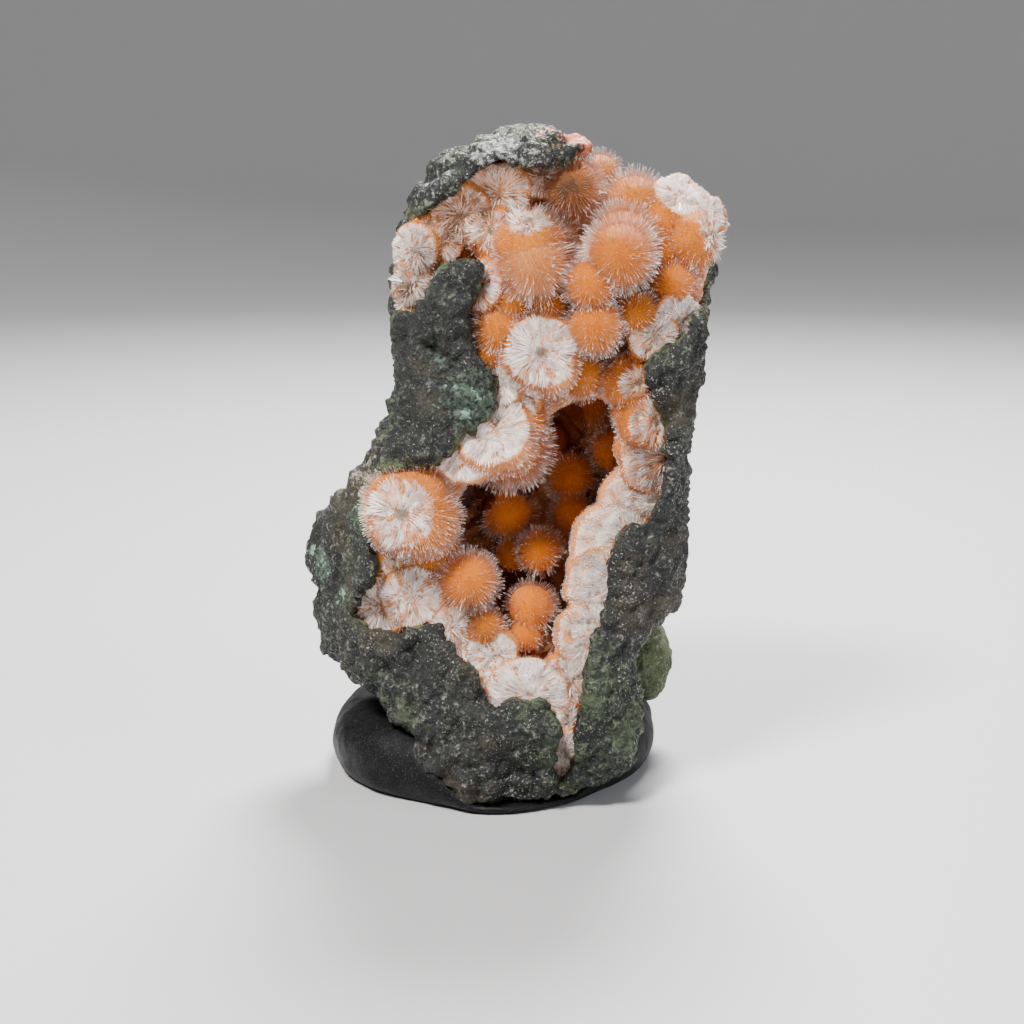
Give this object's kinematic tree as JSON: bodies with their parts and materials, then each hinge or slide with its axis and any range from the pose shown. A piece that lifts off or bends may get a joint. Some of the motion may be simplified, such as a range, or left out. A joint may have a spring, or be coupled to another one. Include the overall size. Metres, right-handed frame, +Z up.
{
  "type": "thomsonite specimen",
  "caption": "Broken piece of basalt, upright in a ring of black putty, its open front hollow lined with a crust of round crystal balls.",
  "frame": {"origin": "under the middle of the whole thing's bounding box, on the surface the putty stands on", "axes": "+Z up, the open side of the hollow faces -Y, +X to the right of someone facing it"},
  "size_m": [0.0492, 0.0428, 0.0775],
  "materials": {
    "basalt": "rough, broken",
    "thomsonite": "silky, fibrous",
    "putty": "dull satin"
  },
  "bodies": {
    "root": {"basalt_matrix": "basalt", "thomsonite_crust": "thomsonite", "putty_ring": "putty"}
  },
  "joints": []
}
